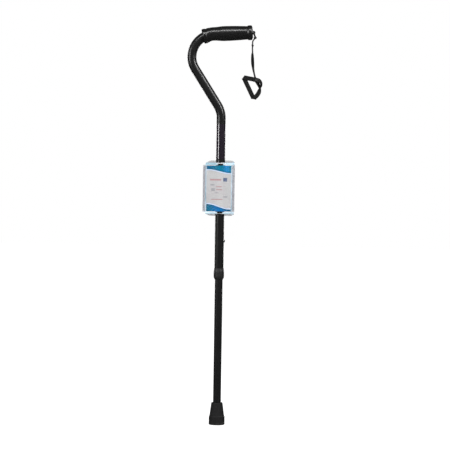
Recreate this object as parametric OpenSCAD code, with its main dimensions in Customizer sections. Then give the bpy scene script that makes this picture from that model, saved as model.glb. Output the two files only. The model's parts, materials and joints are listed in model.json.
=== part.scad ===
// Offset-handle walking cane with a telescoping leg, one rubber tip, a wrist strap and a hang tag.
// The origin is on the floor under the tip, +Z runs up the shaft and the grip points to +X.

/* [Height] */
// Height of the grip above the floor with the leg fully out
max_height = 990.6; // [960:0.1:1010]
// Adjustment hole in use, counted from the lowest
hole_in_use = 2; // [1:1:10]
// Distance from one adjustment hole to the next
hole_pitch = 25.4; // [24:0.1:26]
// Number of adjustment holes
hole_count = 10; // [10:1:11]

/* [Handle tube] */
// Outside diameter of the handle tube
tube_d = 22.225; // [22.2:0.005:22.3]
// Wall thickness of the handle tube
tube_wall = 1.47; // [1.42:0.01:1.48]
// Length of the straight part, from the lower end to the first bend
straight_l = 379; // [365:1:385]
// Centreline radius of the lower bend
lower_bend_r = 60; // [50:1:70]
// Length of the straight neck between the bends
neck_l = 101.7; // [96:0.1:110]
// Centreline radius of the upper bend
upper_bend_r = 56; // [53:0.5:60]
// Angle by which the grip rises towards its free end
grip_tilt = 2.7; // [1:0.1:4]
// Height of the lowest adjustment hole above the tube's lower end
first_hole_h = 57.5; // [55:0.5:62]
// Diameter of each adjustment hole
hole_d = 7.6; // [7.4:0.1:8]

/* [Grip] */
// Length of the grip from the end of the bend to the free end
grip_l = 92; // [88:1:98]
// Greatest radius of the grip
grip_r = 17.9; // [17.5:0.1:18.5]
// Radius of the grip over the bend
grip_neck_r = 16.2; // [15.8:0.1:16.6]
// Radius of the grip just before the end flange
grip_end_r = 15.8; // [15.4:0.1:16.4]
// Radius of the two flanges
flange_r = 17.8; // [17.2:0.1:18.5]

/* [Collar] */
// Greatest radius of the collar nut
nut_r = 12.7; // [12.5:0.1:13.5]
// Length of the collar nut
nut_l = 28; // [27:1:32]
// Number of grip grooves round the nut
nut_grooves = 20; // [12:1:28]

/* [Leg] */
// Outside diameter of the leg tube
leg_d = 19.05; // [19:0.005:19.06]
// Wall thickness of the leg tube
leg_wall = 1.25; // [1.1:0.05:1.3]
// Length of the leg tube above the snap button
leg_over_button = 50; // [40:1:60]
// Height that the snap button stands out of the handle tube
button_proud = 2.7; // [2:0.1:3]

/* [Tip] */
// Radius of the base of the rubber tip
tip_r = 19.2; // [18:0.1:20]
// Height of the rubber tip
tip_h = 53.5; // [52:0.5:60]
// Number of flutes round the tip
tip_flutes = 16; // [12:1:20]

/* [Label and tag] */
// Length of the label wrapped round the tube
label_l = 84.5; // [60:0.5:90]
// Width of the hang tag
tag_w = 77.7; // [70:0.1:85]
// Height of the flat front of the hang tag
tag_h = 112; // [90:0.5:115]
// Width of the printed card in the tag
card_w = 58; // [50:0.5:60]

/* [Strap] */
// Diameter of the strap cord
cord_d = 2.8; // [2:0.1:2.8]
// Thickness of the wrist loop
webbing_t = 3; // [2:0.1:4]

/* [Hidden] */
$fn = 96;
eps = 0.01;

// Handle tube: the path rises up the shaft, leans back to -X, then turns over to +X.
tube_r = tube_d / 2;
tube_bore_r = tube_r - tube_wall;
// The neck leans back by the angle of a right triangle with sides 336, 527 and 625.
lean_deg = atan2(336, 527);
total_height = max_height - (hole_in_use - 1) * hole_pitch;
grip_crest = (grip_l - 2) * sin(grip_tilt) + flange_r * cos(grip_tilt);
bend_rise = lower_bend_r * sin(lean_deg) + neck_l * cos(lean_deg)
          + upper_bend_r * (sin(lean_deg) + cos(grip_tilt));
bend_z = total_height - bend_rise - grip_crest;
neck_start = [lower_bend_r * (cos(lean_deg) - 1), 0, bend_z + lower_bend_r * sin(lean_deg)];
neck_end = neck_start + neck_l * [-sin(lean_deg), 0, cos(lean_deg)];
upper_centre = neck_end + upper_bend_r * [cos(lean_deg), 0, sin(lean_deg)];
grip_start = upper_centre + upper_bend_r * [-sin(grip_tilt), 0, cos(grip_tilt)];
tube_end_inset = 2;
// Inside the grip the tube is turned down a little, and that length starts within the bend.
grip_tube_r = tube_r - 0.2;
grip_tube_bore_r = tube_bore_r - 0.2;
grip_tube_lap = 1;
tube_low_z = bend_z - straight_l;
first_hole_z = tube_low_z + first_hole_h;
button_z = first_hole_z + (hole_in_use - 1) * hole_pitch;

// Grip: the left flange stands on the bend, tilted less than the tube that enters it.
flange_t = 8.5;
flange_tilt = 11;
flange_round = 2.5;
flange_back_deg = 28.5;
grip_curve_deg = 20;
grip_fit = 0.04;
grip_bore_lap_deg = 0.5;
swell_l = 24;
flange_fillet_l = 2.5;
end_flange_s = grip_l - 10;

// Collar: the bush sits between the nut's lip and the mouth of the handle tube.
nut_low_z = tube_low_z - 10;
nut_bore_r = tube_r + 0.09;
nut_lip_r = leg_d / 2 + 0.25;
nut_top_r = tube_r + 0.45;
groove_r = 0.9;
groove_depth = 0.35;
bush_bore_r = leg_d / 2 + 0.045;
bush_r = tube_r - 0.05;
mouth_chamfer = 0.8;

// Leg and spring clip: a strip of spring steel bent to a U, its free arm carrying the button.
leg_r = leg_d / 2;
leg_low_z = 9.6;
clip_t = 0.8;
clip_w = 8;
clip_r = 7;
clip_bend_z = button_z - 44;
pivot_z = button_z - 41;
pivot_x = clip_r - clip_t / 2;
arm_over_button = 7;
button_r = 3.35;
button_tip_x = tube_r + button_proud;

// Rubber tip
tip_floor = 8;
washer_t = 1.5;
tip_band_h = 20.5;
tip_shoulder_r = tip_r - 1.5;
tip_top_r = 13.9;
flute_r = 2;
flute_depth = 0.5;

// Tag: a flat front before the tube and two tabs folded back, each with a hole for the tube.
// The whole tag is turned a little about the tube.
film_t = 0.4;
rim_t = 0.25;
tag_turn_deg = -8;
tag_mid_x = -1.75;
tag_mid_y = -tube_r - 1.25;
tag_top_z = bend_z - 113.5;
tab_l = 35;
tab_left_inset = 6.3;
tab_right_inset = 1;
tab_right_taper = 5;
tab_corner = 9;
tab_hole_r = tube_r + 0.9;
top_tab_deg = 20;
low_tab_deg = 15;

// Strap: the cord hangs from the eyelet in the end plug.
lug_s = grip_l + 3.2;
eyelet = grip_start + lug_s * [cos(grip_tilt), 0, sin(grip_tilt)];
lug_r = 4;
lug_w = 5;
eyelet_r = 2.1;
cord_ring_r = 6.4;
cord_tilt = 18;

// Moves its children to the far end of a bend. A positive radius bends to +X.
module past_bend(bend_r, deg) {
    translate([bend_r, 0, 0])
        rotate([0, sign(bend_r) * deg, 0])
            translate([-bend_r, 0, 0])
                children();
}

// A rod round a bend that starts at the origin, heading +Z. A positive radius bends to +X.
module bent_rod(r, bend_r, deg) {
    rotate([0, 0, bend_r > 0 ? 180 : 0])
        translate([-abs(bend_r), 0, 0])
            rotate([90, 0, 0])
                rotate_extrude(angle = deg)
                    translate([abs(bend_r), 0])
                        circle(r = r);
}

// The lower bend, cut off square where the neck starts.
module lower_bend(r) {
    overrun_deg = 5;
    box = 2 * lower_bend_r;
    difference() {
        bent_rod(r, -lower_bend_r, lean_deg + overrun_deg);
        past_bend(-lower_bend_r, lean_deg)
            translate([-box / 2, -box / 2, 0])
                cube(box);
    }
}

// Places its children at the start of the upper bend, heading up the neck.
module past_neck() {
    translate([0, 0, tube_low_z])
        translate([0, 0, straight_l])
            past_bend(-lower_bend_r, lean_deg)
                translate([0, 0, neck_l])
                    children();
}

// Places its children at the grip's start with +Z along the grip and +X downwards.
module along_grip() {
    past_neck()
        past_bend(upper_bend_r, 90 + lean_deg - grip_tilt)
            children();
}

// A solid rod along the handle tube's path: radius r up to the grip, then radius grip_part_r.
module tube_path(r, grip_part_r, past_low, past_end) {
    translate([0, 0, tube_low_z]) {
        translate([0, 0, -past_low])
            cylinder(r = r, h = straight_l + past_low);
        translate([0, 0, straight_l]) {
            lower_bend(r);
            past_bend(-lower_bend_r, lean_deg) {
                cylinder(r = r, h = neck_l);
                translate([0, 0, neck_l])
                    bent_rod(r, upper_bend_r, 90 + lean_deg - grip_tilt);
            }
        }
    }
    along_grip()
        translate([0, 0, -grip_tube_lap])
            cylinder(r = grip_part_r, h = grip_tube_lap + grip_l - tube_end_inset + past_end);
}

// A rod that runs back round the upper bend, from lap_deg past the grip's start.
module rod_back_round_bend(r, deg, lap_deg) {
    translate([upper_bend_r, 0, 0])
        rotate([90, 0, 0])
            rotate([0, 0, 180 - lap_deg])
                rotate_extrude(angle = deg)
                    translate([upper_bend_r, 0])
                        circle(r = r);
}

// A straight rod between two points of the XZ plane.
module rod(from, to, r) {
    d = to - from;
    translate(from)
        rotate([0, atan2(d[0], d[2]), 0])
            cylinder(r = r, h = norm(d));
}

// The row of adjustment holes as rods of diameter d towards +X.
module hole_row(d) {
    for (i = [0 : hole_count - 1])
        translate([0, 0, first_hole_z + i * hole_pitch])
            rotate([0, 90, 0])
                cylinder(d = d, h = tube_d);
}

module handle_tube() {
    color("#1b1b1d")
    difference() {
        tube_path(tube_r, grip_tube_r, 0, 0);
        tube_path(tube_bore_r, grip_tube_bore_r, 1, 1);
        translate([0, 0, tube_low_z - eps])
            cylinder(r1 = tube_bore_r + mouth_chamfer, r2 = tube_bore_r, h = mouth_chamfer);
        hole_row(hole_d);
    }
}

// Radius of the grip at distance s from the bend.
function grip_radius(s) =
    s < swell_l
    ? grip_neck_r + (grip_r - grip_neck_r) * (1 - cos(180 * s / swell_l)) / 2
    : grip_r - (grip_r - grip_end_r) * pow((s - swell_l) / (end_flange_s - swell_l), 2);

// Points of a quarter circle about c, from angle a0 to a1.
function arc(c, r, a0, a1, n) = [
    for (i = [0 : n])
        let (a = a0 + (a1 - a0) * i / n)
            c + r * [cos(a), sin(a)]
];

module grip() {
    barrel = [for (s = [0 : 3 : end_flange_s - flange_fillet_l]) [grip_radius(s), s]];
    end_round = arc([flange_r - flange_round, grip_l - flange_round], flange_round, 0, 90, 6);
    disc_low = arc([flange_r - flange_round, flange_round], flange_round, -90, 0, 6);
    disc_high = arc([flange_r - flange_round, flange_t - flange_round], flange_round, 0, 90, 6);
    color("#202022")
    along_grip()
    difference() {
        union() {
            rotate_extrude()
                polygon(concat([[0, 0]], barrel, [[flange_r, end_flange_s]], end_round, [[0, grip_l]]));
            rod_back_round_bend(grip_neck_r, grip_curve_deg, 0);
            translate(upper_bend_r * [1 - cos(flange_back_deg), 0, -sin(flange_back_deg)])
                rotate([0, -flange_tilt, 0])
                    rotate_extrude()
                        polygon(concat([[0, 0]], disc_low, disc_high, [[0, flange_t]]));
        }
        translate([0, 0, -grip_tube_lap])
            cylinder(r = grip_tube_r + grip_fit, h = grip_tube_lap + grip_l + 1);
        rod_back_round_bend(tube_r + grip_fit, 2 * grip_curve_deg, grip_bore_lap_deg);
    }
}

module end_plug() {
    barrel_l = 18;
    barrel_r = grip_tube_bore_r - 0.4;
    rib_r = grip_tube_bore_r - 0.02;
    head_r = grip_tube_r - 0.1;
    head_t = tube_end_inset;
    color("#252527")
    along_grip()
    difference() {
        union() {
            translate([0, 0, grip_l - head_t])
                cylinder(r = head_r, h = head_t);
            translate([0, 0, grip_l - head_t - barrel_l])
                cylinder(r = barrel_r, h = barrel_l + eps);
            for (i = [0 : 2])
                translate([0, 0, grip_l - head_t - barrel_l + 3 + 5 * i])
                    cylinder(r = rib_r, h = 1.5);
            translate([0, 0, lug_s])
                rotate([90, 0, 0])
                    cylinder(r = lug_r, h = lug_w, center = true);
            translate([-lug_r, -lug_w / 2, grip_l - eps])
                cube([2 * lug_r, lug_w, lug_s - grip_l + eps]);
        }
        translate([0, 0, lug_s])
            rotate([90, 0, 0])
                cylinder(r = eyelet_r, h = lug_w + 2, center = true);
    }
}

// The label leaves the adjustment holes under it open.
module shaft_label() {
    label_in = tube_r + 0.01;
    label_out = tube_r + 0.12;
    window_d = hole_d + 1.6;
    color("#17161b")
    difference() {
        translate([0, 0, bend_z - 14.5 - label_l])
            cylinder(r = label_out, h = label_l);
        translate([0, 0, bend_z - 15.5 - label_l])
            cylinder(r = label_in, h = label_l + 2);
        hole_row(window_d);
    }
}

module collar_nut() {
    foot_h = 8;
    flare_z = 18;
    flare_l = 9;
    seat_z = 2;
    seat_h = 1.7;
    foot_lip_r = nut_lip_r + 0.15;
    foot = [for (i = [0 : 8]) [foot_lip_r + (nut_r - foot_lip_r) * sin(90 * i / 8), foot_h * i / 8]];
    flare = [
        for (i = [0 : 6])
            [nut_top_r + (nut_r - nut_top_r) * (1 + cos(180 * i / 6)) / 2, flare_z + flare_l * i / 6]
    ];
    color("#1d1d1f")
    translate([0, 0, nut_low_z])
    union() {
        rotate_extrude()
            polygon(concat(
                foot,
                [[nut_bore_r, foot_h], [nut_bore_r, seat_z + seat_h], [nut_lip_r, seat_z], [nut_lip_r, 0]]
            ));
        translate([0, 0, foot_h])
            linear_extrude(height = flare_z - foot_h)
                difference() {
                    circle(r = nut_r);
                    circle(r = nut_bore_r);
                    for (i = [0 : nut_grooves - 1])
                        rotate(360 * i / nut_grooves)
                            translate([nut_r + groove_r - groove_depth, 0])
                                circle(r = groove_r);
                }
        rotate_extrude()
            polygon(concat(
                [[nut_bore_r, flare_z]],
                flare,
                [[nut_top_r, nut_l], [nut_bore_r, nut_l]]
            ));
    }
}

module collar_bush() {
    low_z = 2.25;
    nose_r = tube_bore_r + mouth_chamfer;
    slit_w = 1.2;
    color("#d8d4c8")
    translate([0, 0, nut_low_z])
    difference() {
        rotate_extrude()
            polygon([
                [bush_bore_r, low_z],
                [nut_lip_r + 0.1, low_z],
                [bush_r, low_z + 1.6],
                [bush_r, 9.9],
                [nose_r - 0.1, 9.9],
                [nose_r - 0.65, 10.5],
                [bush_bore_r, 10.5]
            ]);
        translate([-tube_d, -slit_w / 2, 0])
            cube([tube_d, slit_w, 12]);
    }
}

module leg_tube() {
    leg_top_z = button_z + leg_over_button;
    color("#1e1e20")
    difference() {
        translate([0, 0, leg_low_z])
            cylinder(r = leg_r, h = leg_top_z - leg_low_z);
        translate([0, 0, leg_low_z - 1])
            cylinder(r = leg_r - leg_wall, h = leg_top_z - leg_low_z + 2);
        translate([0, 0, button_z])
            rotate([0, 90, 0])
                cylinder(d = hole_d, h = leg_d);
    }
}

module clip_frame() {
    stub_gap = 0.1;
    color("#b9bcc0")
    union() {
        translate([-clip_r, -clip_w / 2, clip_bend_z - eps])
            cube([clip_t, clip_w, button_z + arm_over_button - clip_bend_z]);
        translate([0, 0, clip_bend_z])
            rotate([90, 0, 0])
                rotate([0, 0, 180])
                    rotate_extrude(angle = 180)
                        translate([clip_r - clip_t, -clip_w / 2])
                            square([clip_t, clip_w]);
        translate([clip_r - clip_t, -clip_w / 2, clip_bend_z - eps])
            cube([clip_t, clip_w, pivot_z - clip_t / 2 - stub_gap - clip_bend_z]);
    }
}

module button_arm() {
    color("#b9bcc0")
    union() {
        translate([pivot_x, 0, pivot_z])
            rotate([90, 0, 0])
                cylinder(r = clip_t / 2, h = clip_w, center = true);
        translate([clip_r - clip_t, -clip_w / 2, pivot_z])
            cube([clip_t, clip_w, button_z + arm_over_button - pivot_z]);
    }
}

module snap_button() {
    dome_h = 2.4;
    dome_r = (button_r * button_r + dome_h * dome_h) / (2 * dome_h);
    shank_l = button_tip_x - dome_h - clip_r;
    dome = arc([0, shank_l + dome_h - dome_r], dome_r, asin(1 - dome_h / dome_r), 90, 8);
    color("#c4c7ca")
    translate([clip_r, 0, button_z])
        rotate([0, 90, 0])
            rotate_extrude()
                polygon(concat([[0, 0], [button_r, 0]], dome));
}

module rubber_tip() {
    bore_r = leg_r + 0.03;
    edge = 2;
    sole = arc([tip_r - edge, edge], edge, -90, 0, 6);
    shoulder = [[tip_r, tip_band_h - 0.8], [tip_r - 0.8, tip_band_h], [tip_shoulder_r, tip_band_h + 1.5]];
    crown = arc([tip_top_r - edge, tip_h - edge], edge, 0, 90, 6);
    slope = atan2(tip_shoulder_r - tip_top_r, tip_h - edge - tip_band_h - 1.5);
    color("#262628")
    difference() {
        rotate_extrude()
            polygon(concat([[0, 0]], sole, shoulder, crown, [[0, tip_h]]));
        translate([0, 0, tip_floor])
            cylinder(r = bore_r, h = tip_h);
        translate([0, 0, tip_h - 1])
            cylinder(r1 = bore_r, r2 = bore_r + 1.2, h = 1 + eps);
        for (r = [6.5, 12])
            translate([0, 0, -1])
                difference() {
                    cylinder(r = r + 2.2, h = 2.5);
                    translate([0, 0, -1])
                        cylinder(r = r, h = 5);
                }
        for (i = [0 : tip_flutes - 1])
            rotate([0, 0, 360 * i / tip_flutes])
                translate([tip_shoulder_r + flute_r - flute_depth, 0, tip_band_h + 3.5])
                    rotate([0, -slope, 0])
                        cylinder(r = flute_r, h = tip_h - tip_band_h - 9, $fn = 32);
    }
}

module tip_washer() {
    color("#a9acb0")
    translate([0, 0, tip_floor])
        cylinder(r = leg_r - 0.1, h = washer_t);
}

// One folded tab: it starts on the fold and runs back past the tube with rounded far corners.
// It is narrower than the front, most of all at the left.
module tab(z, rise_deg) {
    left = -tag_w / 2 + tab_left_inset;
    right = tag_w / 2 - tab_right_inset;
    outline = concat(
        [[left, 0], [right, 0]],
        arc([right - tab_right_taper - tab_corner, tab_l - tab_corner], tab_corner, 0, 90, 8),
        arc([left + tab_corner, tab_l - tab_corner], tab_corner, 90, 180, 8)
    );
    difference() {
        translate([tag_mid_x, tag_mid_y - film_t / 2, z])
            rotate([rise_deg, 0, 0])
                translate([0, 0, -film_t])
                    linear_extrude(height = 2 * film_t)
                        polygon(outline);
        translate([0, 0, z - 2 * tab_l])
            cylinder(r = tab_hole_r, h = 4 * tab_l);
    }
}

// Sheet of film with a raised rim down each side, towards +Y.
module film_sheet() {
    rim_w = (tag_w - card_w) / 2 - 0.5;
    translate([-tag_w / 2, 0, 0])
        cube([tag_w, film_t, tag_h]);
    for (x = [-tag_w / 2, tag_w / 2 - rim_w])
        translate([x, film_t - eps, 0])
            cube([rim_w, rim_t + eps, tag_h]);
}

module tag_front_film() {
    color([0.85, 0.93, 0.97, 0.5])
    rotate([0, 0, tag_turn_deg])
    union() {
        translate([tag_mid_x, tag_mid_y - film_t - rim_t, tag_top_z - tag_h])
            film_sheet();
        tab(tag_top_z - film_t, top_tab_deg);
        tab(tag_top_z - tag_h + film_t, -low_tab_deg);
    }
}

module tag_back_film() {
    fold_gap = 2;
    color([0.85, 0.93, 0.97, 0.5])
    rotate([0, 0, tag_turn_deg])
    intersection() {
        translate([tag_mid_x, tag_mid_y + film_t + rim_t, tag_top_z])
            rotate([0, 0, 180])
                translate([0, 0, -tag_h])
                    film_sheet();
        translate([-tag_w, tag_mid_y - 1, tag_top_z - tag_h + fold_gap])
            cube([2 * tag_w, 4, tag_h - 2 * fold_gap]);
    }
}

module tag_card() {
    card_t = 0.4;
    edge_gap = 0.8;
    color("#dfe6ea")
    rotate([0, 0, tag_turn_deg])
    translate([tag_mid_x - card_w / 2, tag_mid_y - card_t / 2, tag_top_z - tag_h + edge_gap])
        cube([card_w, card_t, tag_h - 2 * edge_gap]);
}

// Points of the strap, measured in the XZ plane from the eyelet.
function from_eyelet(x, z) = eyelet + [x, 0, z];

module strap_cord() {
    r = cord_d / 2;
    knot = from_eyelet(2 * cord_ring_r * sin(cord_tilt), -2 * cord_ring_r * cos(cord_tilt));
    route = [knot, from_eyelet(-1.3, -19.2), from_eyelet(-2.4, -23.5), from_eyelet(-2.3, -46)];
    joint_r = r + 0.2;
    color("#141415")
    union() {
        translate(eyelet)
            rotate([0, -cord_tilt, 0])
                translate([0, 0, -cord_ring_r])
                    rotate([0, 90, 0])
                        rotate_extrude()
                            translate([cord_ring_r, 0])
                                circle(r = r);
        translate(knot)
            sphere(r = 2.2);
        for (i = [0 : 2])
            rod(route[i], route[i + 1], r);
        for (i = [1 : 2])
            translate(route[i])
                sphere(r = joint_r);
    }
}

module strap_webbing() {
    tail_right = [[-0.9, -47.6], [1.5, -58], [1.7, -72], [3, -86], [10.4, -110.9]];
    loop_outside = [
        [19.1, -115.1], [23.4, -126.6], [19.9, -132], [17.5, -151.3],
        [8.3, -161.8], [-5.3, -158], [-26, -115.3], [-17.7, -104]
    ];
    tail_left = [[6.6, -109.3], [0, -92], [-3.4, -80], [-4.4, -64], [-3.7, -47.6]];
    loop_inside = [[-14.4, -115.1], [7.2, -120.6], [15.1, -135.7], [3.3, -153]];
    color("#161617")
    translate(eyelet)
        rotate([90, 0, 0])
            translate([0, 0, -webbing_t / 2])
                linear_extrude(height = webbing_t)
                    difference() {
                        polygon(concat(tail_right, loop_outside, tail_left));
                        polygon(loop_inside);
                    }
}

module strap_stitching() {
    thread_r = 0.3;
    tack_w = 8;
    color("#2a2a2c")
    for (i = [0 : 5])
        translate(from_eyelet(5 + 0.9 * i, -114.5 - 0.45 * i) - [0, webbing_t / 2 + thread_r, 0])
            rotate([0, 15, 0])
                cylinder(r = thread_r, h = tack_w, center = true, $fn = 16);
}

handle_tube();
grip();
end_plug();
shaft_label();
collar_nut();
collar_bush();
leg_tube();
clip_frame();
button_arm();
snap_button();
rubber_tip();
tip_washer();
tag_front_film();
tag_back_film();
tag_card();
strap_cord();
strap_webbing();
strap_stitching();
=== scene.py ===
"""Looks of the offset-handle cane: its soft parts and thin sheets as meshes, and a node material
for every piece."""

import json
from math import asin, cos, degrees, dist, exp, hypot, pi, radians, sin, sqrt

import bpy
from mathutils import Matrix, Vector


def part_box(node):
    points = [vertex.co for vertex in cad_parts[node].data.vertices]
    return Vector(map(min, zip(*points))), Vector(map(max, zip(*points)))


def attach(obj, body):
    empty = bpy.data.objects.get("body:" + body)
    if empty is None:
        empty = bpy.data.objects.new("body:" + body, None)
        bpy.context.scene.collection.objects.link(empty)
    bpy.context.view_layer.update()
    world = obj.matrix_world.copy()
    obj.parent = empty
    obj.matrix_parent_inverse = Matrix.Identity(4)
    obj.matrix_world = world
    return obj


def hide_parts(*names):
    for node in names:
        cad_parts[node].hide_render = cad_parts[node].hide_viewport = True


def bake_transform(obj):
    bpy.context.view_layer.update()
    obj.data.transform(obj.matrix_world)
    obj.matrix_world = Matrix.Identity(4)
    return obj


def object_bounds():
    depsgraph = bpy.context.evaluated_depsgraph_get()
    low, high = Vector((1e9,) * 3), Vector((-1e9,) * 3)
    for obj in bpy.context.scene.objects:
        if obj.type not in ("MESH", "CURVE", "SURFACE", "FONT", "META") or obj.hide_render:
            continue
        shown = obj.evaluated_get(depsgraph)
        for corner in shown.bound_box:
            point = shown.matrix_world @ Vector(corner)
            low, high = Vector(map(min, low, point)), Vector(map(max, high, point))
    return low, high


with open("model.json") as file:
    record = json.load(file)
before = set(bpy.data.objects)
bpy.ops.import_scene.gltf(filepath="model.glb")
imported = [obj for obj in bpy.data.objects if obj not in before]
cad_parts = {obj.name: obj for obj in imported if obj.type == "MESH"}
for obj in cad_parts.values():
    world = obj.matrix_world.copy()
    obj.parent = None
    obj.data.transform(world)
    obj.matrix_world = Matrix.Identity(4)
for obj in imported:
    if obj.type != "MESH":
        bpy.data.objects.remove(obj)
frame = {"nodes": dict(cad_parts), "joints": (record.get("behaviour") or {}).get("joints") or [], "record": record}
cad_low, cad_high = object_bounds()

MM = 0.001
TURN = 2 * pi
SIDEWAYS = Vector((0, 1, 0))
JOINTS = {joint["name"]: joint for joint in frame["joints"]}
MOUNTS = {mount["name"]: mount for mount in frame["record"]["mounts"]}


# ---- sizes

# The handle tube, and the upper bend that ends where the grip's straight axis starts.
TUBE_R = 11.1125 * MM
BEND_R = 56 * MM

# The hand grip.
GRIP_L = 92 * MM
NECK_R, SWELL_R, SLIM_R = 16.2 * MM, 17.9 * MM, 15.8 * MM
SWELL_L = 24 * MM
EYELET_PAST_GRIP = 3.2 * MM
EYELET = Vector(JOINTS["strap_swing"]["pos_m"])
GRIP_UP = Vector(MOUNTS["hand_grip"]["axis"]).normalized()
GRIP_ALONG = Vector((GRIP_UP.z, 0, -GRIP_UP.x))
GRIP_START = EYELET - GRIP_ALONG * (EYELET_PAST_GRIP + GRIP_L)

# Its rear flange, which stands on the bend. EDGE_DEG is how far its front edge is rounded.
FLANGE_R, FLANGE_T, FLANGE_ROUND = 17.8 * MM, 9.5 * MM, 2.5 * MM
FLANGE_BACK = radians(30.0)
FLANGE_TILT, EDGE_DEG = 11.0, 50
FLANGE_LIFT = 1.9 * MM
BLEND_L = 9 * MM

# Its flange at the free end, from END_FLANGE on.
END_FLANGE = 82 * MM
END_ROUND = 3.6 * MM

# The window that the shaft label leaves over the top adjustment hole.
WINDOW_R = 4.6 * MM

# The hang tag. Its own frame is turned about the tube, with the card at TAG_Y.
TAG_TURN = radians(-8)
TAG_MID_X = -1.75 * MM
TAG_Y = -TUBE_R - 1.25 * MM
TAG_W, CARD_W = 77.7 * MM, 59.5 * MM
CARD_GAP = 0.8 * MM
TAG_HOLE_R = TUBE_R + 0.9 * MM

# The wrist strap: its cord, its flat webbing and the depths of the webbing's two layers.
CORD_R = 1.9 * MM
CORD_END = Vector(JOINTS["loop_swing"]["pos_m"])
WEB_W, WEB_T = 10.8 * MM, 1.4 * MM
FRONT_Y, BACK_Y = -0.85 * MM, 0.85 * MM
FACING = Vector((0, -1, 0))


# ---- mesh helpers

def new_object(name, verts, faces, uvs=None, smooth=True):
    """A mesh object. uvs holds one (u, v) per vertex."""
    mesh = bpy.data.meshes.new(name)
    mesh.from_pydata([tuple(v) for v in verts], [], faces)
    mesh.validate()
    if uvs is not None:
        layer = mesh.uv_layers.new(name="UVMap")
        for loop in mesh.loops:
            layer.data[loop.index].uv = uvs[loop.vertex_index]
    if smooth:
        mesh.polygons.foreach_set("use_smooth", [True] * len(mesh.polygons))
    mesh.update()
    obj = bpy.data.objects.new(name, mesh)
    bpy.context.scene.collection.objects.link(obj)
    return obj


def ring_middle(ring):
    return sum(ring, Vector()) / len(ring)


def loft(rings, cap=True):
    """Vertices, faces and UVs of a skin over closed rings of points, which all have the same count.
    The UVs are metres along the rings' middles and metres round each ring."""
    count = len(rings[0])
    verts, faces, uvs = [], [], []
    along = 0.0
    for i, ring in enumerate(rings):
        if i:
            along += (ring_middle(ring) - ring_middle(rings[i - 1])).length
        around = 0.0
        for j, point in enumerate(ring):
            if j:
                around += (point - ring[j - 1]).length
            verts.append(point)
            uvs.append((along, around))
    last = (len(rings) - 1) * count
    for a in range(0, last, count):
        for j in range(count):
            k = (j + 1) % count
            faces.append((a + j, a + k, a + count + k, a + count + j))
    if cap:
        faces.append(tuple(reversed(range(count))))
        faces.append(tuple(last + j for j in range(count)))
    return verts, faces, uvs


def join_parts(parts):
    """One (verts, faces, uvs) from several."""
    verts, faces, uvs = [], [], []
    for part_verts, part_faces, part_uvs in parts:
        base = len(verts)
        verts += part_verts
        uvs += part_uvs
        faces += [tuple(base + i for i in face) for face in part_faces]
    return verts, faces, uvs


def spline(points, steps):
    """Points of a Catmull-Rom curve through the given tuples of numbers, steps to a span."""

    def between(a, b, c, d, t):
        straight = 2 * b + (c - a) * t
        return 0.5 * (straight + (2 * a - 5 * b + 4 * c - d) * t * t + (3 * b - a - 3 * c + d) * t ** 3)

    padded = [points[0]] + list(points) + [points[-1]]
    out = []
    for i in range(len(points) - 1):
        for k in range(steps):
            out.append(tuple(between(*values, k / steps) for values in zip(*padded[i : i + 4])))
    out.append(tuple(points[-1]))
    return out


def resample(points, step):
    """The same path with points evenly spaced about step apart."""
    lengths = [0.0]
    for a, b in zip(points, points[1:]):
        lengths.append(lengths[-1] + (b - a).length)
    count = max(2, round(lengths[-1] / step))
    out, i = [], 0
    for k in range(count + 1):
        target = lengths[-1] * k / count
        while i < len(points) - 2 and lengths[i + 1] < target:
            i += 1
        span = max(lengths[i + 1] - lengths[i], 1e-12)
        out.append(points[i].lerp(points[i + 1], (target - lengths[i]) / span))
    return out


def tangent_at(points, i):
    """Direction of a path at its point i."""
    return (points[min(i + 1, len(points) - 1)] - points[max(i - 1, 0)]).normalized()


def frames_along(points):
    """(point, normal, binormal) along a path, turning as little as possible."""
    out, normal = [], None
    for i, point in enumerate(points):
        tangent = tangent_at(points, i)
        if normal is None:
            normal = tangent.orthogonal().normalized()
        normal = (normal - tangent * normal.dot(tangent)).normalized()
        out.append((point, normal, tangent.cross(normal)))
    return out


def tube(points, radius, sides=8):
    """Skin of a round tube along a path."""
    angles = [TURN * j / sides for j in range(sides)]
    return loft([
        [point + normal * (radius * cos(a)) + binormal * (radius * sin(a)) for a in angles]
        for point, normal, binormal in frames_along(points)
    ])


def braided_cord(points, radius, pitch=7 * MM):
    """A hollow braid of yarns over a core: the yarns run both ways round and weave over and under."""
    strands, steps = 4, 16
    yarn_r, weave = 0.34 * radius, 0.14 * radius
    mid = radius - yarn_r - weave
    step = pitch / steps
    stations = frames_along(resample(points, step))
    parts = [tube([station[0] for station in stations], 0.6 * radius)]
    for way in (1, -1):
        for k in range(strands):
            path = []
            for i, (point, normal, binormal) in enumerate(stations):
                angle = way * TURN * i * step / pitch + TURN * k / strands
                r = mid + way * weave * cos(2 * strands * pi * i * step / pitch)
                path.append(point + (normal * cos(angle) + binormal * sin(angle)) * r)
            parts.append(tube(path, yarn_r, sides=6))
    return join_parts(parts)


def smoothstep(x):
    """0 below 0, 1 above 1 and a smooth rise between."""
    x = min(1.0, max(0.0, x))
    return x * x * (3 - 2 * x)


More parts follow.
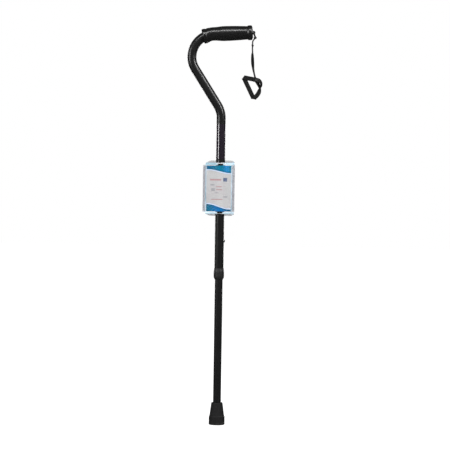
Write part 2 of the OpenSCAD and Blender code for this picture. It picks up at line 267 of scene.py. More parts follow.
def cut_out(obj, radius, start, end):
    """Cuts a round hole through a piece along the line from start to end."""
    sides, sharp = 64, radians(35)
    across = (end - start).orthogonal().normalized()
    up = (end - start).normalized().cross(across)
    spokes = [across * cos(TURN * j / sides) + up * sin(TURN * j / sides) for j in range(sides)]
    verts, faces, _ = loft([[place + spoke * radius for spoke in spokes] for place in (start, end)])
    cutter = new_object("cutter", verts, faces, smooth=False)
    modifier = obj.modifiers.new("hole", "BOOLEAN")
    modifier.operation, modifier.object, modifier.solver = "DIFFERENCE", cutter, "EXACT"
    bpy.context.view_layer.update()
    evaluated = obj.evaluated_get(bpy.context.evaluated_depsgraph_get())
    mesh = bpy.data.meshes.new_from_object(evaluated)
    mesh.set_sharp_from_angle(angle=sharp)
    obj.modifiers.clear()
    obj.data = mesh
    bpy.data.objects.remove(cutter)


# ---- material helpers

class Graph:
    """A material's node tree, with short ways to add nodes."""

    def __init__(self, name):
        self.material = bpy.data.materials.new(name)
        self.material.use_nodes = True
        self.tree = self.material.node_tree
        self.tree.nodes.clear()
        self.out = self.tree.nodes.new("ShaderNodeOutputMaterial")

    def node(self, kind, settings=None, **inputs):
        """A node of a kind. An input's name has _ for each space."""
        made = self.tree.nodes.new("ShaderNode" + kind)
        for key, value in (settings or {}).items():
            setattr(made, key, value)
        for key, value in inputs.items():
            self.feed(made.inputs[key.replace("_", " ")], value)
        return made

    def feed(self, socket, value):
        """Links or sets a socket: value is a node, a socket, a colour or a number."""
        if isinstance(value, bpy.types.NodeSocket):
            self.tree.links.new(value, socket)
        elif isinstance(value, bpy.types.Node):
            self.tree.links.new(value.outputs[0], socket)
        elif isinstance(value, (tuple, list)) and len(value) == 3 and socket.type == "RGBA":
            socket.default_value = (*value, 1)
        else:
            socket.default_value = value

    def math(self, operation, *values):
        made = self.tree.nodes.new("ShaderNodeMath")
        made.operation = operation
        for socket, value in zip(made.inputs, values):
            self.feed(socket, value)
        return made.outputs[0]

    def times(self, product, *others):
        for value in others:
            product = self.math("MULTIPLY", product, value)
        return product

    def remap(self, value, low, high, to_low, to_high):
        """A smooth step from to_low, where value is low, to to_high, where it is high."""
        made = self.node("MapRange", {"interpolation_type": "SMOOTHSTEP"})
        for socket, v in zip(made.inputs, (value, low, high, to_low, to_high)):
            self.feed(socket, v)
        return made.outputs[0]

    def band(self, value, low, high, soft=0.004):
        """1 where value is between low and high and 0 elsewhere, with soft edges."""
        rise = self.remap(value, low - soft, low + soft, 0.0, 1.0)
        fall = self.remap(value, high - soft, high + soft, 1.0, 0.0)
        return self.times(rise, fall)

    def mix(self, factor, a, b):
        """A mix of two colours."""
        made = self.node("Mix", {"data_type": "RGBA"})
        self.feed(made.inputs[0], factor)
        self.feed(made.inputs[6], a)
        self.feed(made.inputs[7], b)
        return made.outputs[2]

    def blend(self, factor, a, b):
        """A mix of two shaders."""
        made = self.node("MixShader")
        for socket, value in zip(made.inputs, (factor, a, b)):
            self.feed(socket, value)
        return made

    def axes(self, source):
        """The X, Y and Z of a texture coordinate."""
        split = self.node("SeparateXYZ", Vector=self.node("TexCoord").outputs[source])
        return tuple(split.outputs[axis] for axis in "XYZ")

    def place(self, source="Object", scale=(1, 1, 1)):
        coords = self.node("TexCoord").outputs[source]
        return self.node("Mapping", Vector=coords, Scale=scale).outputs[0]

    def noise(self, scale, detail=2.0, at=None):
        return self.node("TexNoise", Vector=at or self.place(), Scale=scale, Detail=detail).outputs["Fac"]

    def bump(self, height, distance, strength, below=None):
        """A bump's normal, over the normal below it if one is given."""
        made = self.node("Bump", Height=height, Distance=distance, Strength=strength)
        if below is not None:
            self.feed(made.inputs["Normal"], below)
        return made.outputs[0]

    def round_edges(self, radius):
        return self.node("Bevel", {"samples": 4}, Radius=radius).outputs[0]

    def surface(self, shader):
        """Makes a shader the material's surface."""
        self.feed(self.out.inputs["Surface"], shader)

    def principled(self, **inputs):
        """Finishes the material with one principled shader."""
        self.surface(self.node("BsdfPrincipled", **inputs))
        return self.material


def grey(level, tint=(1.0, 1.0, 1.0)):
    return tuple(level * t for t in tint)


# ---- materials

def powder_coat():
    """Satin black powder coat: fine orange peel, slight dust and handling marks."""
    g = Graph("powder_coat")
    peel = g.noise(1900, 3)
    cloud = g.noise(14, 4)
    rub = g.noise(60, 3, at=g.place(scale=(1, 1, 0.06)))
    colour = g.mix(cloud, grey(0.0050), grey(0.0070, (1, 1, 1.03)))
    rough = g.math("ADD", g.remap(cloud, 0.3, 0.7, 0.27, 0.31), g.remap(rub, 0.55, 0.8, 0.0, 0.04))
    normal = g.bump(peel, 0.003 * MM, 0.3)
    return g.principled(Base_Color=colour, Roughness=rough, Normal=normal, Specular_IOR_Level=0.45)


def gloss_film():
    """Glossy black label film, a little purple, with faint waviness along the tube."""
    g = Graph("gloss_film")
    wave = g.noise(45, 2, at=g.place(scale=(1, 1, 0.25)))
    speck = g.noise(2600, 1)
    rough = g.remap(speck, 0.62, 0.8, 0.20, 0.28)
    return g.principled(
        Base_Color=(0.010, 0.007, 0.012), Roughness=rough, Normal=g.bump(wave, 0.05 * MM, 0.08),
        Coat_Weight=1.0, Coat_Roughness=0.13, Specular_IOR_Level=0.6,
    )


def vinyl():
    """Soft moulded vinyl: skin-like fine grain, low waviness and a soft sheen."""
    g = Graph("vinyl")
    grain = g.node("TexVoronoi", Vector=g.place(), Scale=1500).outputs["Distance"]
    wave = g.noise(28, 2, at=g.place(scale=(0.25, 1, 1)))
    cloud = g.noise(25, 4)
    colour = g.mix(cloud, grey(0.004), grey(0.007))
    rough = g.remap(cloud, 0.3, 0.7, 0.25, 0.30)
    normal = g.bump(grain, 0.002 * MM, 0.25, g.bump(wave, 0.08 * MM, 0.08))
    return g.principled(Base_Color=colour, Roughness=rough, Normal=normal, Specular_IOR_Level=0.55)


def moulded_plastic():
    """Black moulded plastic with a fine spark-eroded texture and softly rounded edges."""
    g = Graph("moulded_plastic")
    fine = g.noise(2400, 4)
    cloud = g.noise(40, 3)
    colour = g.mix(cloud, grey(0.007), grey(0.012))
    rough = g.remap(cloud, 0.3, 0.7, 0.40, 0.52)
    normal = g.bump(fine, 0.04 * MM, 0.5, g.round_edges(0.3 * MM))
    return g.principled(Base_Color=colour, Roughness=rough, Normal=normal)


def rubber():
    """Moulded rubber: matt, faintly mottled, greyer with dust towards the sole."""
    g = Graph("rubber")
    fine = g.noise(1700, 5)
    mottle = g.noise(90, 4)
    height = g.axes("Object")[2]
    dust = g.times(g.remap(height, 0.0, 9 * MM, 0.5, 0.0), g.remap(mottle, 0.35, 0.7, 0.2, 1.0))
    colour = g.mix(dust, g.mix(mottle, grey(0.004), grey(0.008)), (0.030, 0.029, 0.028))
    rough = g.remap(mottle, 0.3, 0.7, 0.62, 0.78)
    normal = g.bump(fine, 0.06 * MM, 0.6, g.round_edges(0.5 * MM))
    return g.principled(Base_Color=colour, Roughness=rough, Normal=normal, Specular_IOR_Level=0.3)


def steel(name, level, rough_low, rough_high, stretch=(1, 1, 0.05)):
    """Bright steel. The default stretch gives it brushed lines along Z."""
    g = Graph(name)
    lines = g.noise(900, 4, at=g.place(scale=stretch))
    cloud = g.noise(60, 3)
    colour = g.mix(cloud, grey(level * 0.85), grey(level, (1, 1, 1.02)))
    rough = g.remap(lines, 0.3, 0.7, rough_low, rough_high)
    normal = g.bump(lines, 0.01 * MM, 0.5, g.round_edges(0.2 * MM))
    return g.principled(Base_Color=colour, Metallic=1.0, Roughness=rough, Normal=normal)


def acetal():
    """Natural acetal of the bush: off-white, waxy."""
    g = Graph("acetal")
    cloud = g.noise(80, 3)
    colour = g.mix(cloud, (0.62, 0.60, 0.52), (0.72, 0.70, 0.63))
    normal = g.bump(g.noise(1500, 2), 0.02 * MM, 0.4)
    return g.principled(
        Base_Color=colour, Roughness=0.42, Normal=normal, Subsurface_Weight=0.15,
        Subsurface_Scale=0.5 * MM,
    )


def yarn(name, level):
    """Nylon yarn: fine filaments along the UV's first axis, with a soft fuzzy sheen."""
    g = Graph(name)
    filament = g.noise(1.0, 3, at=g.place("UV", (300, 6000, 1)))
    colour = g.mix(filament, grey(level * 0.55), grey(level * 1.4))
    normal = g.bump(filament, 0.05 * MM, 0.6)
    return g.principled(Base_Color=colour, Roughness=0.6, Normal=normal, Specular_IOR_Level=0.35)


def webbing():
    """Woven nylon webbing: a chevron of warp yarns crossed by fine weft lines, from the UV in metres."""
    g = Graph("webbing")
    along, across, _ = g.axes("UV")
    chevron = g.math("PINGPONG", across, 2.4 * MM)
    slant = g.math("ADD", along, g.times(chevron, 0.9))
    ribs = g.math("SINE", g.times(slant, TURN / (0.95 * MM)))
    ends = g.math("SINE", g.times(across, TURN / (0.5 * MM)))
    weave = g.math("ADD", g.times(ribs, 0.6), g.times(ends, 0.4))
    fuzz = g.noise(3200, 3)
    level = g.remap(weave, -1.0, 1.0, 0.0, 1.0)
    colour = g.mix(level, grey(0.002), g.mix(fuzz, grey(0.005), grey(0.010)))
    normal = g.bump(weave, 0.07 * MM, 0.8, g.bump(fuzz, 0.04 * MM, 0.5))
    return g.principled(Base_Color=colour, Roughness=0.6, Normal=normal, Specular_IOR_Level=0.15)


def film_zones(g):
    """Where the laminate differs, each 0 to 1: the margin outside the card, a strip along the card's sides that
    gets a painted highlight, the tabs, the painted shine on them, the dark patch where the tube shows and the
    slot's edge, which gets a painted highlight."""
    way_out, across, _ = g.axes("UV")
    from_middle = g.math("ABSOLUTE", g.math("SUBTRACT", across, 0.5))
    from_tube = g.math("ABSOLUTE", g.axes("Object")[0])
    card_edge = CARD_W / TAG_W / 2
    margin = g.remap(from_middle, card_edge, card_edge + 0.01, 0.0, 1.0)
    # Painted highlight: a strip just outside the card's sides, where the film catches the light.
    side_highlight = g.times(margin, g.remap(from_middle, card_edge + 0.02, card_edge + 0.05, 1.0, 0.0))
    tab = g.remap(way_out, 0.1 * MM, 0.4 * MM, 0.0, 1.0)
    # Painted shine on the tabs: full up to 13 mm from the fold, fading out by 21 mm.
    shine = g.times(tab, g.remap(way_out, 13 * MM, 21 * MM, 1.0, 0.0))
    before_slot = g.remap(way_out, 3.9 * MM, 4.3 * MM, 1.0, 0.0)
    dark_patch = g.times(before_slot, g.remap(from_tube, 5.4 * MM, 7.6 * MM, 1.0, 0.0))
    # Painted highlight: the slot's lit edge, a pale band just past the dark patch.
    before_end = g.remap(way_out, 6.2 * MM, 6.8 * MM, 1.0, 0.0)
    slot_highlight = g.times(g.math("SUBTRACT", 1.0, before_slot), before_end)
    slot_highlight = g.times(slot_highlight, g.remap(from_tube, 8.8 * MM, 10 * MM, 1.0, 0.0))
    return margin, side_highlight, tab, shine, dark_patch, slot_highlight


def film_haze(g, zones, margin_haze):
    """How much of the light the haze takes, 0 to 1. It is raised where the film has painted highlights, so that
    their colour shows.
    """
    margin, side_highlight, tab, shine, dark_patch, slot_highlight = zones
    cloud = g.remap(g.noise(160, 3), 0.3, 0.7, 0.85, 1.1)
    amount = g.math("MULTIPLY_ADD", margin, margin_haze, 0.02)
    amount = g.math("MULTIPLY_ADD", side_highlight, 0.25, amount)
    amount = g.math("MAXIMUM", amount, g.times(tab, 0.45))
    amount = g.math("MAXIMUM", amount, g.times(shine, 0.8))
    amount = g.times(amount, cloud, g.math("SUBTRACT", 1.0, dark_patch))
    return g.math("MAXIMUM", amount, g.times(slot_highlight, 0.95))


def clear_film(name, tint, margin_haze):
    """Clear laminate, hazy in places and glossy, with painted highlights in its haze beside the card, on the tabs
    and at the slot's edge. Its UV is the distance out along a tab from its fold, in metres, and 0 to 1 across the
    tag."""
    g = Graph(name)
    zones = film_zones(g)
    margin, side_highlight, _, shine, _, slot_highlight = zones
    # Painted highlight: the pale blue colour of the side strip and the tab shine, streaked by noise.
    streak = g.remap(g.noise(30, 2), 0.40, 0.65, 0.0, 1.0)
    bright = g.mix(streak, (0.36, 0.52, 0.60), (0.66, 0.78, 0.86))
    colour = g.mix(g.math("MAXIMUM", side_highlight, shine), (0.42, 0.425, 0.44), bright)
    # Painted highlight on the slot's edge.
    colour = g.mix(slot_highlight, colour, (0.80, 0.80, 0.82))
    haze = g.blend(0.45, g.node("BsdfDiffuse", Color=colour), g.node("BsdfTranslucent", Color=colour))
    clear = g.node("BsdfTransparent", Color=g.mix(margin, grey(0.98), tint))
    film = g.blend(film_haze(g, zones, margin_haze), clear, haze)
    normal = g.bump(g.noise(38, 3), 0.6 * MM, 0.35)
    glint = g.math("MINIMUM", g.node("Fresnel", IOR=1.45, Normal=normal), 0.16)
    gloss = g.node("BsdfGlossy", Color=(0.9, 0.95, 1.0), Roughness=0.08, Normal=normal)
    g.surface(g.blend(glint, film, gloss))
    return g.material


def print_bars(g, u, v, colour):
    """Plain bars where a card has lines of text, and a plain square where it has a mark."""
    ink, red, blue = (0.27, 0.275, 0.29), (0.36, 0.19, 0.20), (0.05, 0.08, 0.18)
    for left, right, middle, half_height, print_colour in (
        (0.14, 0.60, 0.690, 0.017, red),
        (0.68, 0.84, 0.692, 0.040, blue),
        (0.16, 0.32, 0.580, 0.016, ink),
        (0.40, 0.62, 0.540, 0.009, red),
        (0.40, 0.64, 0.474, 0.009, red),
        (0.20, 0.34, 0.474, 0.030, ink),
        (0.34, 0.50, 0.405, 0.007, ink),
        (0.70, 0.86, 0.317, 0.014, ink),
        (0.20, 0.66, 0.262, 0.009, red),
    ):
        bar = g.times(g.band(u, left, right, 0.008), g.band(v, middle - half_height, middle + half_height))
        colour = g.mix(g.times(bar, 0.85), colour, print_colour)
    return colour


def print_band(g, under, depth, blue, rim, swirl):
    """A blue band over the print under it. Inside its edge is a darker rim, which is given as
    (width, strength, colour), and outside it a pale stroke and a faint line. depth is 0 at the edge."""
    rim_w, strength, rim_colour = rim
    stroke, soft = 0.020, 0.003
    beyond = g.times(depth, -1.0)
    under = g.mix(g.times(g.band(beyond, stroke, 1.8 * stroke), 0.25), under, (0.34, 0.30, 0.38))
    under = g.mix(g.band(beyond, 0.0, stroke), under, (0.50, 0.60, 0.76))
    blue = g.mix(g.remap(depth, 0.0, rim_w, strength, 0.0), blue, rim_colour)
    blue = g.mix(g.noise(26, 2), blue, g.mix(0.5, blue, swirl))
    return g.mix(g.remap(depth, -soft, soft, 0.0, 1.0), under, blue)


def printed_card():
    """Printed card: blue-green bands with S-shaped edges at top and bottom, grey and red bars and a
    blue square. The UV runs 0 to 1 over the card's front. The back is plain, and its UV is below 0."""
    g = Graph("printed_card")
    u, v, _ = g.axes("UV")
    paper = g.mix(g.noise(30, 3), (0.44, 0.405, 0.42), (0.43, 0.45, 0.445))
    colour = print_bars(g, u, v, paper)

    top_depth = g.math("SUBTRACT", v, g.remap(u, 0.10, 0.95, 0.918, 0.838))
    top_blue = g.mix(g.remap(u, 0.1, 0.5, 0.0, 1.0), (0.002, 0.085, 0.19), (0.001, 0.15, 0.235))
    top_blue = g.mix(g.band(u, 0.70, 0.92, 0.10), top_blue, (0.006, 0.20, 0.47))
    top_rim = (0.045, 0.75, (0.003, 0.075, 0.14))
    colour = print_band(g, colour, top_depth, top_blue, top_rim, (0.001, 0.14, 0.27))

    low_depth = g.math("SUBTRACT", g.remap(u, 0.05, 0.92, 0.158, 0.046), v)
    low_blue = g.mix(g.remap(u, 0.05, 0.45, 0.0, 1.0), (0.001, 0.125, 0.20), (0.003, 0.125, 0.36))
    low_blue = g.mix(g.remap(u, 0.6, 1.0, 0.0, 1.0), low_blue, (0.003, 0.055, 0.11))
    low_rim = (0.04, 0.7, (0.003, 0.075, 0.13))
    colour = print_band(g, colour, low_depth, low_blue, low_rim, (0.002, 0.12, 0.27))

    colour = g.mix(g.remap(v, -0.5, -0.1, 1.0, 0.0), colour, paper)
    fibres = g.bump(g.noise(900, 4), 0.01 * MM, 0.3)
    return g.principled(Base_Color=colour, Roughness=0.6, Normal=fibres, Specular_IOR_Level=0.1)


def paint(obj, material):
    obj.data.materials.clear()
    obj.data.materials.append(material)


def finish_piece(obj, material, body, slot, *replaced):
    """Gives a new piece its material and its body, and hides the CAD nodes it stands for. slot is not used."""
    paint(obj, material)
    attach(obj, body)
    if replaced:
        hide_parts(*replaced)


# ---- hand grip

def grip_ring(along, drop, tilt_deg, radius, squeeze=1.0):
    """A ring of the grip, with a fine mould line underneath. along and drop give its centre,
    tilt_deg leans it back and squeeze scales its height."""
    sides, seam_h, seam_w = 72, 0.12 * MM, 0.6 * MM
    tilt = radians(tilt_deg)
    up = GRIP_UP * cos(tilt) - GRIP_ALONG * sin(tilt)
    centre = GRIP_START + GRIP_ALONG * along - GRIP_UP * drop
    ring = []
    for j in range(sides):
        a = TURN * j / sides
        from_seam = radius * abs(a - pi)
        r = radius + seam_h * exp(-(from_seam / seam_w) ** 2)
        ring.append(centre + up * (r * squeeze * cos(a)) + SIDEWAYS * (r * sin(a)))
    return ring


def flange_centre(depth):
    """(along, drop) of the rear flange's middle, depth in from its back face."""
    lean = radians(FLANGE_TILT)
    start, start_drop = -BEND_R * sin(FLANGE_BACK), BEND_R * (1 - cos(FLANGE_BACK)) - FLANGE_LIFT
    return start + depth * cos(lean), start_drop - depth * sin(lean)


def flange_edge_r(angle):
    """The rear flange's radius on its rounded edges. angle is 0 at the rim."""
    return FLANGE_R - FLANGE_ROUND * (1 - cos(angle))


def flange_rings():
    """The rear flange, from just inside its mouth to the end of its front edge's rounding."""
    rings = []
    mouth = 1 / cos(FLANGE_BACK - radians(FLANGE_TILT))
    for depth, gap in ((3.0, 0.35), (0.8, 0.35), (0.1, 0.6)):
        along, drop = flange_centre(depth * MM)
        rings.append(grip_ring(along, drop + FLANGE_LIFT, FLANGE_TILT, TUBE_R + gap * MM, mouth))
    for k in range(9):
        a = -pi / 2 + pi / 2 * k / 8
        depth = FLANGE_ROUND * (1 + sin(a))
        rings.append(grip_ring(*flange_centre(depth), FLANGE_TILT, flange_edge_r(a)))
    crown = 0.05 * MM
    rings.append(grip_ring(*flange_centre(FLANGE_T / 2 + 0.8 * MM), FLANGE_TILT, FLANGE_R + crown))
    for k in range(7):
        a = radians(EDGE_DEG) * k / 6
        depth = FLANGE_T - FLANGE_ROUND + FLANGE_ROUND * sin(a)
        rings.append(grip_ring(*flange_centre(depth), FLANGE_TILT, flange_edge_r(a)))
    return rings


def bend_at(along):
    """(drop, tilt in degrees) of the tube's axis: on the bend where along is below 0, straight after."""
    turned = -asin(min(along, 0) / BEND_R)
    return BEND_R * (1 - cos(turned)), degrees(turned)


def blend_rings(start, start_drop):
    """From the rear flange's edge in to the barrel's neck. It meets the tube's axis before its end."""
    edge_r, steps, settle_rate = flange_edge_r(radians(EDGE_DEG)), 16, 1.8
    rings = []
    for k in range(1, steps + 1):
        t = k / steps
        along = start + BLEND_L * t
        bend_drop, bend_tilt = bend_at(along)
        ease, settle = smoothstep(t), smoothstep(settle_rate * t)
        drop = start_drop * (1 - settle) + bend_drop * settle
        tilt = FLANGE_TILT * (1 - ease) + bend_tilt * ease
        rings.append(grip_ring(along, drop, tilt, edge_r * (1 - ease) + NECK_R * ease))
    return rings


def barrel_r(along):
    """The barrel's radius: it swells from the neck, then slims slowly towards the end flange."""
    if along < SWELL_L:
        return NECK_R + (SWELL_R - NECK_R) * (1 - cos(pi * max(along, 0) / SWELL_L)) / 2
    return SWELL_R - (SWELL_R - SLIM_R) * ((along - SWELL_L) / (END_FLANGE - SWELL_L)) ** 2


def barrel_rings(along):
    """The barrel from along to where it has risen to the end flange."""
    rings = []
    while along < END_FLANGE - 4.2 * MM:
        along += 1.5 * MM
        rings.append(grip_ring(along, *bend_at(along), barrel_r(along)))
    rise_l = END_FLANGE + 1.2 * MM - along
    for k in range(1, 11):
        t = k / 10
        r = barrel_r(along) * (1 - smoothstep(t)) + FLANGE_R * smoothstep(t)
        rings.append(grip_ring(along + rise_l * t, 0, 0, r))
    return rings


def grip_end_rings():
    """The free end: its rounded edge, a low crown on its face and the mouth of the bore."""
    rings = []
    for k in range(9):
        a = pi / 2 * k / 8
        along = GRIP_L - END_ROUND + END_ROUND * sin(a)
        rings.append(grip_ring(along, 0, 0, FLANGE_R - END_ROUND * (1 - cos(a))))
    for out, r in ((0.5, 13.4), (0.9, 12.8), (1.0, 12.2), (0.6, 11.5), (0.0, 11.0), (-4.0, 11.0)):
        rings.append(grip_ring(GRIP_L + out * MM, 0, 0, r * MM))
    return rings


def build_grip():
    """The moulded sleeve: a tilted flange over the bend, a swelling barrel and an end flange."""
    start, start_drop = flange_centre(FLANGE_T + 0.3 * MM)
    rings = flange_rings() + blend_rings(start, start_drop) + barrel_rings(start + BLEND_L)
    grip = new_object("grip_sleeve", *loft(rings + grip_end_rings(), cap=False))
    finish_piece(grip, vinyl(), "handle", "vinyl_grip", "grip")


# ---- shaft label

def build_label():
    """Film wrapped once round the tube, its end lapped over its start at the back. A window leaves
    the top adjustment hole open."""
    low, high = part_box("shaft_label")
    thick, gap, rim = 0.09 * MM, 0.012 * MM, 0.1 * MM
    steps, start, sweep, lap_rise = 150, radians(80), radians(374), 0.3
    stations = [low.z, low.z + rim] + [low.z + (high.z - low.z) * k / 12 for k in range(1, 12)]
    stations += [high.z - rim, high.z]
    rings = []
    for z in stations:
        outline = []
        for side, order in ((1, range(steps + 1)), (0, range(steps, -1, -1))):
            for k in order:
                t = k / steps
                a = start + sweep * t
                lift = (thick + gap) * smoothstep((t * sweep - TURN + lap_rise) / lap_rise)
                r = TUBE_R + gap + lift + thick * side
                outline.append(Vector((r * cos(a), r * sin(a), z)))
        rings.append(outline)
    label = new_object("label_wrap", *loft(rings))
    button_low, button_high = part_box("snap_button")
    top_hole_z = (button_low.z + button_high.z) / 2 + JOINTS["leg_slide"]["range_m"][1]
    cut_out(label, WINDOW_R, Vector((0, 0, top_hole_z)), Vector((2 * TUBE_R, 0, top_hole_z)))
    finish_piece(label, gloss_film(), "handle", "gloss_film", "shaft_label")


# ---- hang tag

def tag_point(x, y, z):
    """A point of the tag from its own frame, which is turned about the tube."""
    c, s = cos(TAG_TURN), sin(TAG_TURN)
    return Vector((x * c - y * s, x * s + y * c, z))


def sheet_ring(half_w, shift, centre, face, thick, columns):
    """A closed outline of a sheet's cross-section: across its front, back across its back, with
    rounded edges. centre and face are (y, z)."""
    edge_round = 0.35 * MM
    ring = []
    for side in (1, -1):
        for k in range(columns + 1):
            x = half_w * (-1 + 2 * k / columns) * side
            h = thick / 2 * sqrt(min(1.0, (half_w - abs(x)) / edge_round + 0.02))
            place = TAG_MID_X + shift + x
            ring.append(tag_point(place, centre[0] + face[0] * h * side, centre[1] + face[1] * h * side))
    return ring


def sheet(name, stations, thick, columns):
    """A sheet from stations of (y, z, half width, shift of its middle to +X, way out along a tab).
    It faces -Y where it runs straight down."""
    rings, uvs = [], []
    for i, (y, z, half, shift, way_out) in enumerate(stations):
        y0, z0 = stations[max(i - 1, 0)][:2]
        y1, z1 = stations[min(i + 1, len(stations) - 1)][:2]
        run = hypot(y1 - y0, z1 - z0)
        face = ((z1 - z0) / run, -(y1 - y0) / run)
        rings.append(sheet_ring(half, shift, (y, z), face, thick, columns))
        across = [(-1 + 2 * k / columns) for k in range(columns + 1)]
        across += [-t for t in across]
        uvs += [(way_out, 0.5 + (t * half + shift) / TAG_W) for t in across]
    verts, faces, _ = loft(rings)
    return new_object(name, verts, faces, uvs)


def tab_stations(fold_y, fold_z, profile):
    """Stations of a tab from its far end to its fold. profile holds (back, up) in millimetres from
    the fold. A notch sets the tab in from the sheet's sides, and its far corners are round."""
    left_inset, right_inset, right_taper = 6.3 * MM, 1 * MM, 5 * MM
    notch, corner = 1.6 * MM, 9 * MM
    points = [(back * MM, up * MM) for back, up in spline(profile, 8)]
    ways = [0.0]
    for a, b in zip(points[::-1], points[-2::-1]):
        ways.append(ways[-1] + dist(a, b))
    length = ways[-1]
    out = []
    for (back, up), way in zip(points, reversed(ways)):
        from_end = length - way
        step_in = smoothstep(way / notch)
        left = left_inset * step_in
        right = right_inset * step_in + right_taper * way / length
        half = (TAG_W - left - right) / 2
        if from_end < corner:
            half += sqrt(max(0.0, corner ** 2 - (corner - from_end) ** 2)) - corner + 0.05 * MM
        out.append((fold_y + back, fold_z + up, half, (left - right) / 2, way))
    return out


def build_front_film(top, bottom):
    """The front sheet between the folds at top and bottom, and its two tabs with their holes."""
    y, panel_steps = TAG_Y - 0.5 * MM, 30
    upper = (
        (34.4, 12.9), (33.2, 11.4), (31, 9.8), (28, 8.5), (24, 7.7), (18, 7.1), (10, 6.6), (4.2, 6.2),
        (1.8, 5.9), (0.75, 5.2), (0.4, 3.9), (0.12, 2.0), (0.0, 0.0),
    )
    lower = (
        (34.4, -9.4), (33.2, -8.5), (31, -7.5), (28, -6.6), (24, -5.9), (18, -5.4), (10, -5.1), (4.2, -4.9),
        (1.8, -4.7), (0.75, -4.1), (0.4, -3.0), (0.12, -1.5), (0.0, 0.0),
    )
    stations = tab_stations(y, top, upper)
    for k in range(1, panel_steps):
        stations.append((y, top + (bottom - top) * (k / panel_steps), TAG_W / 2, 0.0, 0.0))
    stations += reversed(tab_stations(y, bottom, lower))
    front = sheet("tag_sleeve_front", stations, 0.34 * MM, 56)
    past_tabs = Vector((0, 0, 30 * MM))
    cut_out(front, TAG_HOLE_R, Vector((0, 0, bottom)) - past_tabs, Vector((0, 0, top)) + past_tabs)
    film = clear_film("film_front", (0.88, 0.88, 0.90), 0.35)
    finish_piece(front, film, "tag", "clear_film", "tag_front_film")


def build_back_film(top, bottom):
    """The back sheet, with round corners."""
    y, inset, corner, steps = TAG_Y + 0.45 * MM, 0.6 * MM, 5 * MM, 40
    stations = []
    for k in range(steps + 1):
        t = k / steps
        from_end = min(min(t, 1 - t) * (top - bottom), corner)
        nip = corner - sqrt(corner ** 2 - (corner - from_end) ** 2)
        stations.append((y, top + (bottom - top) * t, TAG_W / 2 - inset - nip, 0.0, 0.0))
    back = sheet("tag_sleeve_back", stations, 0.4 * MM, 16)
    film = clear_film("film_back", (0.84, 0.84, 0.86), 0.2)
    finish_piece(back, film, "tag", "clear_film", "tag_back_film")


def slab_faces(columns, rows):
    """Faces over two grids of vertices, one behind the other, joined round their edges."""

    def at(side, i, j):
        return (side * (rows + 1) + i) * (columns + 1) + j

    faces = []
    for i in range(rows):
        for j in range(columns):
            faces.append((at(0, i, j), at(0, i, j + 1), at(0, i + 1, j + 1), at(0, i + 1, j)))
            faces.append((at(1, i, j), at(1, i + 1, j), at(1, i + 1, j + 1), at(1, i, j + 1)))
    for i in range(rows):
        faces.append((at(0, i, 0), at(0, i + 1, 0), at(1, i + 1, 0), at(1, i, 0)))
        faces.append((at(0, i, columns), at(1, i, columns), at(1, i + 1, columns), at(0, i + 1, columns)))
    for j in range(columns):
        faces.append((at(0, 0, j), at(1, 0, j), at(1, 0, j + 1), at(0, 0, j + 1)))
        faces.append((at(0, rows, j), at(0, rows, j + 1), at(1, rows, j + 1), at(1, rows, j)))
    return faces


def build_card(low, high):
    """The printed card between the sheets, bowed a little to the front."""
    thick, bow_h = 0.35 * MM, 0.12 * MM
    columns, rows = 12, 20
    verts, uvs = [], []
    for side in (-1, 1):
        for i in range(rows + 1):
            for j in range(columns + 1):
                u, v = j / columns, i / rows
                bow = bow_h * sin(pi * v) * sin(pi * u)
                z = low.z + (high.z - low.z) * v
                x = TAG_MID_X - CARD_W / 2 + CARD_W * u
                verts.append(tag_point(x, TAG_Y + side * thick / 2 - bow, z))
                uvs.append((u, v if side < 0 else -1.0))
    card = new_object("tag_print", verts, slab_faces(columns, rows), uvs, smooth=False)
    finish_piece(card, printed_card(), "tag", "printed_card", "tag_card")


def build_tag():
    """A clear pouch hung on the tube by two tabs folded back round it, and the card inside."""
    card_low, card_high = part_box("tag_card")
    top, bottom = card_high.z + CARD_GAP, card_low.z - CARD_GAP
    build_front_film(top, bottom)
    build_back_film(top - CARD_GAP, bottom + CARD_GAP)
    build_card(card_low, card_high)


# ---- wrist strap

def from_eyelet(x, z, y=0.0):
    """A point given in millimetres from the eyelet."""
    return EYELET + Vector((x, y, z)) * MM


def cord_coil(middle, axis, radius, turns, rise):
    """Cord wrapped round an axis. rise is how far it goes along the axis in a turn."""
    axis = axis.normalized()
    side = axis.orthogonal().normalized()
    other = axis.cross(side)
    steps = round(24 * turns)
    coil = []
    for k in range(steps + 1):
        a = TURN * turns * k / steps
        height = rise * turns * (k / steps - 0.5)
        coil.append(middle + axis * height + (side * cos(a) + other * sin(a)) * radius)
    return braided_cord(coil, 0.9 * CORD_R, pitch=5 * MM)


def build_cord():
    """The braided cord: a ring through the eyelet, a wrapped knot below it, and the strand down to
    the webbing. It bends smoothly where it meets the loop."""
    ring_r, tilt = 6.4 * MM, radians(18)
    down = Vector((sin(tilt), 0, -cos(tilt)))
    centre = EYELET + down * ring_r
    knot = EYELET + down * 2 * ring_r
    ring = [
        centre + down * (ring_r * cos(TURN * k / 64)) + SIDEWAYS * (ring_r * sin(TURN * k / 64))
        for k in range(3, 62)
    ]
    route = ((2.0, -15.3), (-1.1, -18.9), (-2.3, -23.2), (-2.35, -30), (-2.6, -37))
    strand = [tuple(knot)] + [tuple(from_eyelet(x, z)) for x, z in route] + [tuple(CORD_END)]
    cord = new_object("cord_braid", *join_parts([
        braided_cord([knot] + ring + [knot + down * 0.5 * MM], CORD_R),
        braided_cord([Vector(point) for point in spline(strand, 12)], CORD_R),
        cord_coil(knot, Vector((-0.60, 0, -0.80)), 1.9 * MM, 2.4, 1.9 * MM),
        cord_coil(from_eyelet(-2.25, -31), Vector((-0.06, 0, -1)), 1.3 * MM, 1.6, 1.6 * MM),
    ]))
    paint(cord, yarn("cord_yarn", 0.007))
    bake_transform(cord)
    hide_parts("strap_cord")


